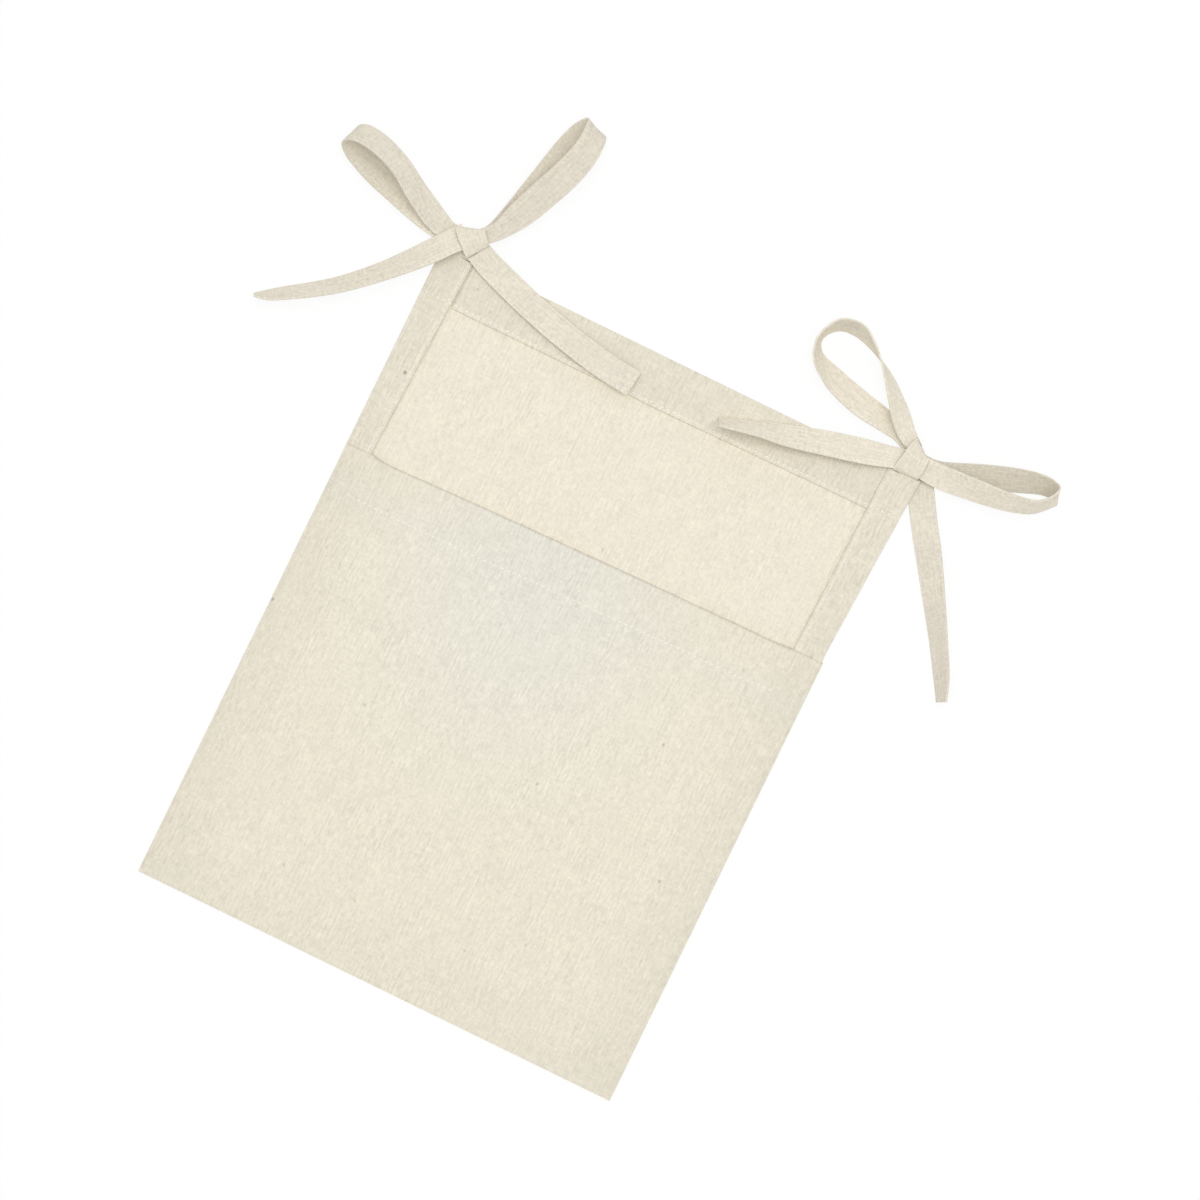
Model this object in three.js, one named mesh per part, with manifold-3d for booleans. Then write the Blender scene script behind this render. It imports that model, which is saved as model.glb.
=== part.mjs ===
// Bedside caddy: a flat linen panel with one deep front pocket and two tape ties knotted in bows.
// Millimetres. It lies on its back: X across, Y towards the ties, Z up out of its front.
// The origin is the middle of the back panel's back face.

import * as THREE from 'three';
import { mergeVertices } from 'three/addons/utils/BufferGeometryUtils.js';
import Module from 'manifold-3d';

const wasm = await Module();
wasm.setup();

// Cloth body
const PANEL_WIDTH = 250;
const PANEL_HEIGHT = 330;
const TOP_FLARE = 2.5; // how far the right side leans out between the pocket's mouth and the top edge
const CLOTH = 0.6; // one layer
const FOLD = 1.2; // a hem's turned layers, on top of the panel
const TOP_HEM_DEPTH = 23.5;
const SIDE_HEM_WIDTH = 15;
const BOTTOM_SEAM = 12;
const LAYER_GAP = 0.3; // between layers that only lie on each other

// Pocket
const MOUTH_LEFT = 226.5; // the mouth's height above the foot at the left side
const MOUTH_RIGHT = 231;
const POCKET_LOFT = 5.5; // how far the front stands up in the middle of the mouth
const POCKET_HEM_DEPTH = 23.5;
const POCKET_COLUMNS = 24;
const POCKET_ROWS = 14;

// Sewing thread
const STITCH_LENGTH = 3;
const THREAD_WIDTH = 0.7;
const THREAD_HEIGHT = 0.4; // at the middle of a stitch
const THREAD_DIP = 0.12; // at the needle holes
const HEM_STITCH_INSET = 1.3; // from a hem's edge
const POCKET_STITCH_INSET = 1; // from the lower edge of the pocket's hem

// Tape ties
const TAPE_WIDTH = 13;
const TAPE_THICKNESS = 1.6; // four pressed layers
const ROOT_LENGTH = 12; // sewn in under the corner of the side hem
const ROOT_STAND = 3; // from the top edge to the root's end
const ROOT_GATHER = 0.6; // share of the tape's width at the root's end
const CORNER_PAD = 4; // solid hem below the root's slot
const LEFT_KNOT_INSET = 11.5; // from the panel's side to the middle of the knot
const LEFT_KNOT_STAND = 8.5; // from the top edge
const RIGHT_KNOT_INSET = 6.5;
const RIGHT_KNOT_STAND = 7.5;
const KNOT_FOOT = 3.4; // the knot lies just clear of the padded corner
const KNOT_HEIGHT = 7;
const KNOT_ROUND = 2.4;
const HINGE_GAP = 0.3; // between a knot's stub and the strand that lifts from it
const STEPS_PER_STATION = 4;

// Heights and edges that several pieces share
const TOP = PANEL_HEIGHT / 2;
const FOOT = -PANEL_HEIGHT / 2;
const SIDE = PANEL_WIDTH / 2;
const HEM_TOP = CLOTH + FOLD;
const POCKET_REST = HEM_TOP + LAYER_GAP;
const ROOT_TOP = CLOTH + TAPE_THICKNESS;
const PAD_TOP = ROOT_TOP + LAYER_GAP + CLOTH;
const PAD_FOOT = TOP - ROOT_LENGTH - CORNER_PAD;
const MOUTH_RIGHT_Y = FOOT + MOUTH_RIGHT;

const linen = { color: 0xe7e0cd, roughness: 0.95, metalness: 0 };
const pocketLinen = { color: 0xe5dfd0, roughness: 0.95, metalness: 0 };
const tapeLinen = { color: 0xe3dac6, roughness: 0.95, metalness: 0 };
const thread = { color: 0xf5f1e8, roughness: 0.7, metalness: 0 };

const caddy = new THREE.Group();

function add(parent, name, geometry, finish) {
  const mesh = new THREE.Mesh(geometry, new THREE.MeshStandardMaterial(finish));
  mesh.name = name;
  parent.add(mesh);
  return mesh;
}

// A flat piece of cloth cut to an outline, between two heights
function slab(outline, low, high) {
  const shape = new THREE.Shape(outline.map(([x, y]) => new THREE.Vector2(x, y)));
  const geometry = new THREE.ExtrudeGeometry(shape, { depth: high - low, bevelEnabled: false });
  return geometry.translate(0, 0, low);
}

function box(low, high) {
  const size = high.map((value, axis) => value - low[axis]);
  const geometry = new THREE.BoxGeometry(...size);
  return geometry.translate(...low.map((value, axis) => value + size[axis] / 2));
}

// A closed solid through a row of four-cornered sections
function loft(sections) {
  const corners = sections[0].length;
  const index = [];
  for (let k = 0; k + 1 < sections.length; k += 1) {
    for (let j = 0; j < corners; j += 1) {
      const a = k * corners + j;
      const b = k * corners + ((j + 1) % corners);
      index.push(a, b, b + corners, a, b + corners, a + corners);
    }
  }
  const last = (sections.length - 1) * corners;
  index.push(0, 3, 2, 0, 2, 1, last, last + 1, last + 2, last, last + 2, last + 3);
  const geometry = new THREE.BufferGeometry().setFromPoints(sections.flat());
  geometry.setIndex(index);
  return geometry;
}

// A curved sheet over a grid: place(s, t) is a point of its underside, for s and t from 0 to 1
function sheet(place, thickness, columns, rows) {
  const points = [];
  for (const lift of [0, thickness]) {
    for (let j = 0; j <= rows; j += 1) {
      for (let i = 0; i <= columns; i += 1) {
        const point = place(i / columns, j / rows);
        points.push(point.setZ(point.z + lift));
      }
    }
  }
  const wide = columns + 1;
  const above = wide * (rows + 1);
  const index = [];
  for (let j = 0; j < rows; j += 1) {
    for (let i = 0; i < columns; i += 1) {
      const a = j * wide + i;
      const c = a + wide + 1;
      index.push(a, c, a + 1, a, c - 1, c);
      index.push(above + a, above + a + 1, above + c, above + a, above + c, above + c - 1);
    }
  }
  const rim = [];
  for (let i = 0; i < columns; i += 1) rim.push(i);
  for (let j = 0; j < rows; j += 1) rim.push(j * wide + columns);
  for (let i = columns; i > 0; i -= 1) rim.push(rows * wide + i);
  for (let j = rows; j > 0; j -= 1) rim.push(j * wide);
  rim.forEach((a, k) => {
    const b = rim[(k + 1) % rim.length];
    index.push(a, b, above + b, a, above + b, above + a);
  });
  const geometry = new THREE.BufferGeometry().setFromPoints(points);
  geometry.setIndex(index);
  return geometry;
}

// Joining and cutting
function solid(geometry) {
  const bare = geometry.clone();
  bare.deleteAttribute('normal');
  bare.deleteAttribute('uv');
  const merged = mergeVertices(bare);
  const mesh = new wasm.Mesh({
    numProp: 3,
    vertProperties: new Float32Array(merged.attributes.position.array),
    triVerts: new Uint32Array(merged.index.array),
  });
  return new wasm.Manifold(mesh);
}

function shell(manifold) {
  const mesh = manifold.getMesh();
  const geometry = new THREE.BufferGeometry();
  geometry.setAttribute('position', new THREE.BufferAttribute(mesh.vertProperties, 3));
  geometry.setIndex(new THREE.BufferAttribute(mesh.triVerts, 1));
  return geometry;
}

// Rows of stitches: the thread rises over each stitch and dips at each needle hole.
// Each run is [start, end, height of the cloth under it], and the thread climbs from one run to the next.
function stitchRow(runs) {
  const under = [];
  const over = [];
  runs.forEach(([start, end, level], k) => {
    const jog = k > 0 ? THREAD_HEIGHT : 0;
    const first = start - jog;
    const count = Math.max(2, Math.round((end - first) / STITCH_LENGTH));
    const pitch = (end - first) / count;
    under.push([start, level], [end, level]);
    for (let i = 0; i < count; i += 1) {
      over.push([first + i * pitch, level + (i === 0 && k > 0 ? THREAD_HEIGHT : THREAD_DIP)]);
      over.push([first + (i + 0.5) * pitch, level + THREAD_HEIGHT]);
    }
    const climbs = k + 1 < runs.length;
    const stop = climbs ? end - THREAD_HEIGHT : end;
    over.push([stop, level + THREAD_DIP]);
  });
  const outline = under.concat(over.reverse());
  const shape = new THREE.Shape(outline.map(([s, z]) => new THREE.Vector2(s, z)));
  const geometry = new THREE.ExtrudeGeometry(shape, { depth: THREAD_WIDTH, bevelEnabled: false });
  geometry.translate(0, 0, -THREAD_WIDTH / 2);
  return geometry.rotateX(Math.PI / 2);
}

// Edges of the body
function rightEdge(y) {
  const share = Math.max(0, (y - MOUTH_RIGHT_Y) / (TOP - MOUTH_RIGHT_Y));
  return SIDE + TOP_FLARE * share;
}

function mouthHeight(x) {
  return THREE.MathUtils.lerp(MOUTH_LEFT, MOUTH_RIGHT, (x + SIDE) / PANEL_WIDTH);
}

// The underside of the pocket's front: down on the seams at its sides and foot, loose in the middle
function pocketUnderside(x, y) {
  const across = x / SIDE;
  const up = (y - FOOT) / mouthHeight(x);
  const loft = (1 - across ** 4) * (1 - (1 - up) ** 4);
  return POCKET_REST + POCKET_LOFT * loft;
}

// Back panel and hems
const hemInner = SIDE - SIDE_HEM_WIDTH;
const topHemFoot = TOP - TOP_HEM_DEPTH;

add(caddy, 'back_panel', slab([
  [-SIDE, FOOT], [SIDE, FOOT], [SIDE, MOUTH_RIGHT_Y], [SIDE + TOP_FLARE, TOP], [-SIDE, TOP],
], 0, CLOTH), linen);

add(caddy, 'top_hem', slab([
  [-hemInner, topHemFoot], [rightEdge(topHemFoot) - SIDE_HEM_WIDTH, topHemFoot],
  [rightEdge(TOP) - SIDE_HEM_WIDTH, TOP], [-hemInner, TOP],
], CLOTH, HEM_TOP), linen);

add(caddy, 'bottom_seam', slab([
  [-hemInner, FOOT], [hemInner, FOOT], [hemInner, FOOT + BOTTOM_SEAM], [-hemInner, FOOT + BOTTOM_SEAM],
], CLOTH, HEM_TOP), linen);

// The outline of a side hem between two heights; side is -1 on the left and 1 on the right
function hemOutline(side, low, high) {
  const levels = [low, MOUTH_RIGHT_Y, high].filter((y, k) => k !== 1 || (side > 0 && y > low && y < high));
  const outer = levels.map((y) => [side > 0 ? rightEdge(y) : -SIDE, y]);
  const inner = outer.map(([x, y]) => [x - side * SIDE_HEM_WIDTH, y]).reverse();
  const outline = outer.concat(inner);
  return side > 0 ? outline : outline.reverse();
}

// The corner of a side hem is padded over the tie's root, which lies in a slot under it.
function sideHem(side, rootX) {
  const strip = solid(slab(hemOutline(side, FOOT, TOP), CLOTH, HEM_TOP));
  const pad = solid(slab(hemOutline(side, PAD_FOOT, TOP), CLOTH, PAD_TOP));
  const half = TAPE_WIDTH / 2 + LAYER_GAP;
  const slotLow = [rootX - half, TOP - ROOT_LENGTH - LAYER_GAP, CLOTH - FOLD];
  const slotHigh = [rootX + half, TOP + ROOT_STAND, ROOT_TOP + LAYER_GAP];
  return shell(strip.add(pad).subtract(solid(box(slotLow, slotHigh))));
}

const leftRootX = -SIDE + SIDE_HEM_WIDTH / 2;
const rightRootX = rightEdge(TOP - ROOT_LENGTH) - SIDE_HEM_WIDTH / 2;

add(caddy, 'left_side_hem', sideHem(-1, leftRootX), linen);
add(caddy, 'right_side_hem', sideHem(1, rightRootX), linen);

// Stitching of the hems
const topStitchY = topHemFoot + HEM_STITCH_INSET;
const topStitchStart = -hemInner + HEM_STITCH_INSET;
const topStitchEnd = rightEdge(topStitchY) - SIDE_HEM_WIDTH - HEM_STITCH_INSET;
const topStitching = stitchRow([[topStitchStart, topStitchEnd, HEM_TOP]]);
add(caddy, 'top_hem_stitching', topStitching, thread).position.set(0, topStitchY, 0);

// A row up a side hem from the mouth, climbing onto the padded corner
function sideStitching(start) {
  const climb = PAD_FOOT - LAYER_GAP - start;
  return stitchRow([[0, climb, HEM_TOP], [climb, TOP - start, PAD_TOP]]).rotateZ(Math.PI / 2);
}

const sideStitchX = hemInner + HEM_STITCH_INSET;
const leftStitching = add(caddy, 'left_hem_stitching', sideStitching(FOOT + MOUTH_LEFT), thread);
leftStitching.position.set(-sideStitchX, FOOT + MOUTH_LEFT, 0);
const rightStitching = add(caddy, 'right_hem_stitching', sideStitching(MOUTH_RIGHT_Y), thread);
rightStitching.position.set(sideStitchX, MOUTH_RIGHT_Y, 0);
rightStitching.rotation.z = -Math.atan2(TOP_FLARE, TOP - MOUTH_RIGHT_Y);

// Pocket front, its turned hem and the hem's stitching
add(caddy, 'pocket_front', sheet((s, t) => {
  const x = THREE.MathUtils.lerp(-SIDE, SIDE, s);
  const y = FOOT + mouthHeight(x) * t;
  return new THREE.Vector3(x, y, pocketUnderside(x, y));
}, CLOTH, POCKET_COLUMNS, POCKET_ROWS), pocketLinen);

const pocketHemHalf = hemInner - HEM_STITCH_INSET;
add(caddy, 'pocket_hem', sheet((s, t) => {
  const x = THREE.MathUtils.lerp(-pocketHemHalf, pocketHemHalf, s);
  const y = FOOT + mouthHeight(x) - POCKET_HEM_DEPTH * (1 - t);
  return new THREE.Vector3(x, y, pocketUnderside(x, y) - LAYER_GAP - CLOTH);
}, CLOTH, POCKET_COLUMNS, 3), pocketLinen);

const pocketStitches = Math.round((2 * pocketHemHalf) / STITCH_LENGTH);
const pocketStitching = [];
for (let k = 0; k <= 2 * pocketStitches; k += 1) {
  const x = THREE.MathUtils.lerp(-pocketHemHalf, pocketHemHalf, k / (2 * pocketStitches));
  const y = FOOT + mouthHeight(x) - POCKET_HEM_DEPTH + POCKET_STITCH_INSET;
  const low = pocketUnderside(x, y) + CLOTH + THREAD_DIP;
  const high = low + (k % 2 === 0 ? THREAD_DIP : THREAD_HEIGHT);
  const near = y - THREAD_WIDTH / 2;
  const far = y + THREAD_WIDTH / 2;
  pocketStitching.push([
    new THREE.Vector3(x, near, low),
    new THREE.Vector3(x, far, low),
    new THREE.Vector3(x, far, high),
    new THREE.Vector3(x, near, high),
  ]);
}
add(caddy, 'pocket_hem_stitching', loft(pocketStitching), thread);

// Tape through hand-placed stations [x, y, rest, across, lean, gather]: the middle of the tape, the height
// its lower edge rests at, the direction of its width on the table and how far that width is tipped up, in
// degrees, and the share of its width left where it is gathered.
const DEGREE = Math.PI / 180;

function stationMiddle([x, y, rest, , lean, gather]) {
  const tall = TAPE_WIDTH * gather * Math.abs(Math.sin(lean * DEGREE)) + TAPE_THICKNESS * Math.cos(lean * DEGREE);
  return new THREE.Vector3(x, y, rest + tall / 2);
}

function stationWidth([, , , across, lean]) {
  const level = Math.cos(lean * DEGREE);
  const x = level * Math.cos(across * DEGREE);
  const y = level * Math.sin(across * DEGREE);
  return new THREE.Vector3(x, y, Math.sin(lean * DEGREE));
}

// The stretch of a tape between two places, counted in stations
function tape(stations, from, to) {
  const last = stations.length - 1;
  const middles = new THREE.CatmullRomCurve3(stations.map(stationMiddle));
  const widths = new THREE.CatmullRomCurve3(stations.map(stationWidth));
  const steps = Math.max(2, Math.round((to - from) * STEPS_PER_STATION));
  const sections = [];
  for (let k = 0; k <= steps; k += 1) {
    const place = THREE.MathUtils.lerp(from, to, k / steps);
    const before = Math.min(Math.floor(place), last - 1);
    const gather = THREE.MathUtils.lerp(stations[before][5], stations[before + 1][5], place - before);
    const middle = middles.getPoint(place / last);
    const along = middles.getTangent(place / last);
    const half = widths.getPoint(place / last).setLength((TAPE_WIDTH * gather) / 2);
    const up = along.cross(half).setLength(TAPE_THICKNESS / 2);
    sections.push([
      middle.clone().sub(half).sub(up),
      middle.clone().add(half).sub(up),
      middle.clone().add(half).add(up),
      middle.clone().sub(half).add(up),
    ]);
  }
  return loft(sections);
}

// Half the gap at a hinge, counted in stations
function hingeHalf(stations, hinge) {
  const last = stations.length - 1;
  const middles = new THREE.CatmullRomCurve3(stations.map(stationMiddle));
  const reach = 0.05;
  const ahead = middles.getPoint((hinge + reach) / last);
  const behind = middles.getPoint((hinge - reach) / last);
  return (HINGE_GAP / 2) * ((2 * reach) / ahead.distanceTo(behind));
}

// A tail leaves its knot at station 0 and lifts from its hinge on; a loop also comes back to the knot.
function strand(stations, hinge, returnHinge) {
  const last = stations.length - 1;
  const gap = hingeHalf(stations, hinge);
  const stubs = [tape(stations, 0, hinge - gap)];
  let end = last;
  if (returnHinge !== undefined) {
    const returnGap = hingeHalf(stations, returnHinge);
    stubs.push(tape(stations, returnHinge + returnGap, last));
    end = returnHinge - returnGap;
  }
  return { stubs, lifting: tape(stations, hinge + gap, end) };
}

// A knot is the wrap that crosses over the bow, joined to the stubs of all that leaves it.
// The wrap's outline is given in widths of the tape.
function knot(outline, stubs) {
  const corners = outline.map(([x, y]) => new THREE.Vector2(x, y).multiplyScalar(TAPE_WIDTH));
  const shape = new THREE.Shape(corners);
  const wrap = new THREE.ExtrudeGeometry(shape, {
    depth: KNOT_HEIGHT - 2 * KNOT_ROUND,
    bevelThickness: KNOT_ROUND,
    bevelSize: KNOT_ROUND,
    bevelOffset: -KNOT_ROUND,
    bevelSegments: 3,
  });
  wrap.translate(0, 0, KNOT_FOOT + KNOT_ROUND);
  return shell(stubs.reduce((joined, stub) => joined.add(solid(stub)), solid(wrap)));
}

// The sewn-in root of a tie, flat under the padded corner, and the knot's own end that lies on it
function tieRoot(x) {
  return tape([
    [x, TOP - ROOT_LENGTH, CLOTH, 180, 0, 1],
    [x, TOP - ROOT_LENGTH / 3, CLOTH, 180, 0, 1],
    [x, TOP + ROOT_STAND, CLOTH, 180, 0, ROOT_GATHER],
  ], 0, 2);
}

function knotRoot(x, y) {
  const rest = ROOT_TOP + LAYER_GAP;
  return tape([
    [x, y - ROOT_STAND / 2, rest, 180, 0, ROOT_GATHER],
    [x, y + ROOT_STAND / 2, rest, 180, 0, ROOT_GATHER],
    [x / 2, y / 4, KNOT_FOOT + KNOT_ROUND, 180, 0, ROOT_GATHER],
  ], 0, 2);
}

// Left bow, drawn from the middle of its knot
const leftKnotX = -SIDE + LEFT_KNOT_INSET;
const leftKnotY = TOP + LEFT_KNOT_STAND;
const leftBow = new THREE.Group();
leftBow.position.set(leftKnotX, leftKnotY, 0);
caddy.add(leftBow);

const leftOuterLoop = strand([
  [-2, 0, 5.6, 244, 0, 0.8],
  [-18, 1.6, 3, 245, 12, 0.9],
  [-31.5, 8, 5.5, 249, 32, 1],
  [-45, 16.6, 10.5, 251, 41, 1],
  [-59.5, 22.1, 13, 252, 42, 1],
  [-69.5, 22.8, 11, 252, 42, 1],
  [-74.5, 19.5, 6.5, 252, 42, 1],
  [-69.5, 15.5, 1.8, 252, 42, 1],
  [-56, 9.3, 0.4, 252, 42, 1],
  [-40, 4.2, 0.4, 250, 38, 1],
  [-19, -0.5, 0.6, 245, 10, 0.9],
  [-2, -1, 3.7, 244, 0, 0.8],
], 1, 10);

const leftUpperLoop = strand([
  [3, 3, 5.8, 150, 0, 0.6],
  [9.6, 10.6, 4.4, 150, 4, 0.65],
  [15.2, 22.5, 6.5, 155, 16, 0.95],
  [20.8, 35, 9.5, 158, 24, 1],
  [27, 48.5, 12.5, 159, 28, 1],
  [31.4, 62, 12.5, 159, 28, 1],
  [31, 73, 7, 159, 28, 1],
  [26, 68.5, 2, 159, 28, 1],
  [22, 56, 0.4, 159, 26, 1],
  [17.5, 36, 0.4, 158, 18, 1],
  [8.7, 11.1, 1.6, 150, 4, 0.65],
  [3, 3, 3.8, 150, 0, 0.6],
], 1, 10);

const leftOuterTail = strand([
  [-3, 2, 6.2, 318, 5, 0.8],
  [-8.5, -4.5, 6, 322, 15, 0.85],
  [-14.3, -12.3, 3.6, 323, 22, 0.95],
  [-21.5, -21.2, 1.2, 321, 36, 1],
  [-32.3, -32.9, 0.4, 316, 48, 1],
  [-49.7, -48.6, 0.4, 309, 56, 1],
  [-71.7, -63.1, 0.4, 302, 70, 1],
  [-81, -68, 0.4, 298, 84, 1],
], 2);

const leftInnerTail = strand([
  [2, -1, 4.6, 66, 0, 0.75],
  [12, -5.8, 4.2, 70, -6, 0.95],
  [25, -10.4, 2.7, 71, -6, 1],
  [39.9, -15.5, 2.5, 72, -5, 1],
  [60, -20.9, 2.5, 75, -4, 1],
  [80.9, -25.1, 2.5, 79, -3, 1],
  [99.3, -27.2, 2.5, 83, -2, 1],
], 1);

const leftKnot = knot([[-0.69, 0.27], [0.04, -0.62], [0.69, 0.19], [0.27, 0.62]], [
  knotRoot(leftRootX - leftKnotX, TOP + ROOT_STAND - leftKnotY),
  ...leftOuterLoop.stubs,
  ...leftUpperLoop.stubs,
  ...leftOuterTail.stubs,
  ...leftInnerTail.stubs,
]);

add(caddy, 'left_tie_root', tieRoot(leftRootX), tapeLinen);
add(leftBow, 'left_knot', leftKnot, tapeLinen);
add(leftBow, 'left_outer_loop', leftOuterLoop.lifting, tapeLinen);
add(leftBow, 'left_upper_loop', leftUpperLoop.lifting, tapeLinen);
add(leftBow, 'left_outer_tail', leftOuterTail.lifting, tapeLinen);
add(leftBow, 'left_inner_tail', leftInnerTail.lifting, tapeLinen);

// Right bow, drawn from the middle of its knot
const rightKnotX = SIDE + TOP_FLARE - RIGHT_KNOT_INSET;
const rightKnotY = TOP + RIGHT_KNOT_STAND;
const rightBow = new THREE.Group();
rightBow.position.set(rightKnotX, rightKnotY, 0);
caddy.add(rightBow);

const rightInnerLoop = strand([
  [-2, 3, 5.8, 240, 0, 0.7],
  [-9.5, 9.5, 4.2, 238, 16, 0.8],
  [-18.3, 19.3, 2.4, 228, 42, 1],
  [-27.7, 29.4, 0.6, 226, 74, 1],
  [-36.5, 36, 0.4, 70, 80, 1],
  [-50.5, 43.7, 0.4, 85, 58, 1],
  [-60.5, 41.2, 0.4, 125, 66, 1],
  [-65.6, 31.5, 0.4, 178, 78, 1],
  [-61.5, 22.6, 0.4, 228, 66, 1],
  [-49.7, 17.1, 0.4, 252, 38, 1],
  [-34, 12.4, 0.4, 256, 20, 1],
  [-20, 10.3, 0.5, 250, 14, 0.95],
  [-10.6, 7.6, 1.2, 241, 10, 0.75],
  [-1, 3, 3.8, 240, 0, 0.7],
], 1, 12);

const rightOuterLoop = strand([
  [1, -1.5, 5.6, 95, 0, 0.75],
  [13.5, -2.2, 3.8, 95, 8, 0.9],
  [26.5, -1, 6, 96, 24, 1],
  [40.3, 0.3, 10, 97, 36, 1],
  [53, 2.5, 12, 98, 38, 1],
  [63, 5.9, 9.5, 98, 38, 1],
  [68, 10.8, 5.5, 98, 38, 1],
  [64, 14.8, 1.4, 98, 38, 1],
  [52.5, 14.5, 0.4, 98, 38, 1],
  [34.3, 9.1, 0.4, 98, 34, 1],
  [13.2, 1.8, 1.6, 95, 8, 0.85],
  [1.5, 0, 3.8, 95, 0, 0.75],
], 1, 10);

const rightInnerTail = strand([
  [-1, -1, 5, 278, 0, 0.75],
  [-11.5, -4.3, 4.2, 280, 14, 0.85],
  [-24.5, -7.2, 2.7, 284, 24, 1],
  [-44, -12.3, 2.5, 285, 24, 1],
  [-59.5, -16.6, 2.5, 284, 34, 1],
  [-75, -20.2, 2.5, 283, 52, 1],
  [-91.3, -24.7, 2.5, 288, 66, 1],
], 1);

const rightOuterTail = strand([
  [3.5, 0, 4, 40, 0, 0.5],
  [9.6, -5.2, 1.6, 38, 0, 0.5],
  [13.6, -12.6, 0.4, 33, 0, 0.8],
  [18.8, -25.2, 0.4, 31, 6, 1],
  [27.6, -39.1, 0.4, 30, 14, 1],
  [41.2, -61.3, 0.4, 29, 36, 1],
  [53.8, -81.6, 0.4, 25, 46, 1],
  [62, -97.4, 0.4, 20, 66, 1],
], 2);

const rightKnot = knot([[-0.25, 0.82], [-0.5, -0.62], [0.48, -0.65], [0.52, 0.23]], [
  knotRoot(rightRootX - rightKnotX, TOP + ROOT_STAND - rightKnotY),
  ...rightInnerLoop.stubs,
  ...rightOuterLoop.stubs,
  ...rightInnerTail.stubs,
  ...rightOuterTail.stubs,
]);

add(caddy, 'right_tie_root', tieRoot(rightRootX), tapeLinen);
add(rightBow, 'right_knot', rightKnot, tapeLinen);
add(rightBow, 'right_inner_loop', rightInnerLoop.lifting, tapeLinen);
add(rightBow, 'right_outer_loop', rightOuterLoop.lifting, tapeLinen);
add(rightBow, 'right_inner_tail', rightInnerTail.lifting, tapeLinen);
add(rightBow, 'right_outer_tail', rightOuterTail.lifting, tapeLinen);

export default caddy;
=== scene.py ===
import math

import bmesh
import bpy
from mathutils import Matrix, Vector, noise


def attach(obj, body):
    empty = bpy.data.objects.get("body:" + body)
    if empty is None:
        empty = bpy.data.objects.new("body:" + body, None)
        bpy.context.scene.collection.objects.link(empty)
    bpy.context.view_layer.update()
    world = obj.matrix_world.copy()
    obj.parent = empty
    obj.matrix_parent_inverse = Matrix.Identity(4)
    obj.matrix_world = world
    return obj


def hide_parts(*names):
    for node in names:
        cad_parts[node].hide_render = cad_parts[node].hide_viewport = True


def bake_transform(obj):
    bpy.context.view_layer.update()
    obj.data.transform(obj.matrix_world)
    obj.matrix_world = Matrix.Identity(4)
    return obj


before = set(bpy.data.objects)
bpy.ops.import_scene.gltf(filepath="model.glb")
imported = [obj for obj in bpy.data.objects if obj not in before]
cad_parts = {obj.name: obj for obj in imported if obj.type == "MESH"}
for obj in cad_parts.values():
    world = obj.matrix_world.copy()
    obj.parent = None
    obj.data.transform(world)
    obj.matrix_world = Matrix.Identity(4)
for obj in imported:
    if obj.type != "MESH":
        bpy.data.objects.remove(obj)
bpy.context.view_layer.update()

# Bedside caddy laid on its back, in millimetres: X across, Y towards the ties, Z out of its front
MM = 0.001
UP = Vector((0, 0, 1))
PANEL_WIDTH = 249.2
PANEL_HEIGHT = 329.4
SIDE = PANEL_WIDTH / 2
TOP = PANEL_HEIGHT / 2
FOOT = -TOP
CLOTH = 0.6
FOLD = 1.2
LAYER_GAP = 0.3
SEAM_ROUND = 2.6

# Upper part: it narrows just above the pocket on the right and flares towards the top
RIGHT_WAIST = 1.0
RIGHT_WAIST_RUN = 6.0
RIGHT_FLARE = 3.6
CORNER_LIFT = 1.9
CORNER_REACH = 36.0
TOP_HEM = 23.9
TOP_HEM_RISE = 0.95
TOP_HEM_DIP = 0.3
LEFT_HEM_INNER = -111.9
LEFT_HEM_SLANT = 0.039
RIGHT_HEM_INNER = 108.95
RIGHT_HEM_SLANT = 0.025
HEM_SLANTS_FROM = 62.0
BOTTOM_SEAM = 12.0
HEM_TOP = CLOTH + FOLD
TOP_HEM_FOOT = TOP - TOP_HEM
STITCH_INSET = 1.9
STITCH_FROM = 0.16
STITCH_TO = 0.86
HEM_ROUNDING = 0.3
HEM_FLECK = (-114.4, 103.7)
FAR_FROM_EDGE = 20.0

# Pocket: its mouth, turned in to make a hem, rises towards the right and a little more over each side hem
MOUTH = 228.6
MOUTH_SLOPE = 0.0244
MOUTH_BOW = 0.000055
MOUTH_LEFT_STEP = 1.7
LEFT_STEP_FROM = 104.5
LEFT_STEP_RUN = 6.5
MOUTH_RIGHT_STEP = 0.6
RIGHT_STEP_FROM = 102.0
RIGHT_STEP_RUN = 8.0
POCKET_LOFT = 5.5
MOUTH_FALL = 32.0
MOUTH_ROLL = 0.9
SEAM_BELOW_MOUTH = 2.0
SEAM_RUN = 8.0
SEAM_GAP = 0.05
POCKET_HEM = 23.5
POCKET_HEM_HALF = 107.0
POCKET_HEM_CLOTH = 0.5
POCKET_HEM_DROP = 0.75
POCKET_HEM_TURN = 2.0
POCKET_REST = HEM_TOP + LAYER_GAP
POCKET_SAG = 0.55
SAG_HALF = 110.0
SAG_RUN = 12.0
SIDES = ((-1, "left"), (1, "right"))

# Ties
TAPE_WIDTH = 13.0
TAPE_THICKNESS = 1.0
TAPE_ROUNDING = 0.3
TAPE_STEPS = 9
TAPE_STITCH = 2.6
TAPE_STITCH_INSET = 1.2
TAPE_SWAY = 0.2
TAPES_APART = 300
CURVE_PARTS = 40
LEFT_KNOT = Vector((-113.5, 173.5, 0))
RIGHT_KNOT = Vector((121.0, 172.5, 0))

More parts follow.
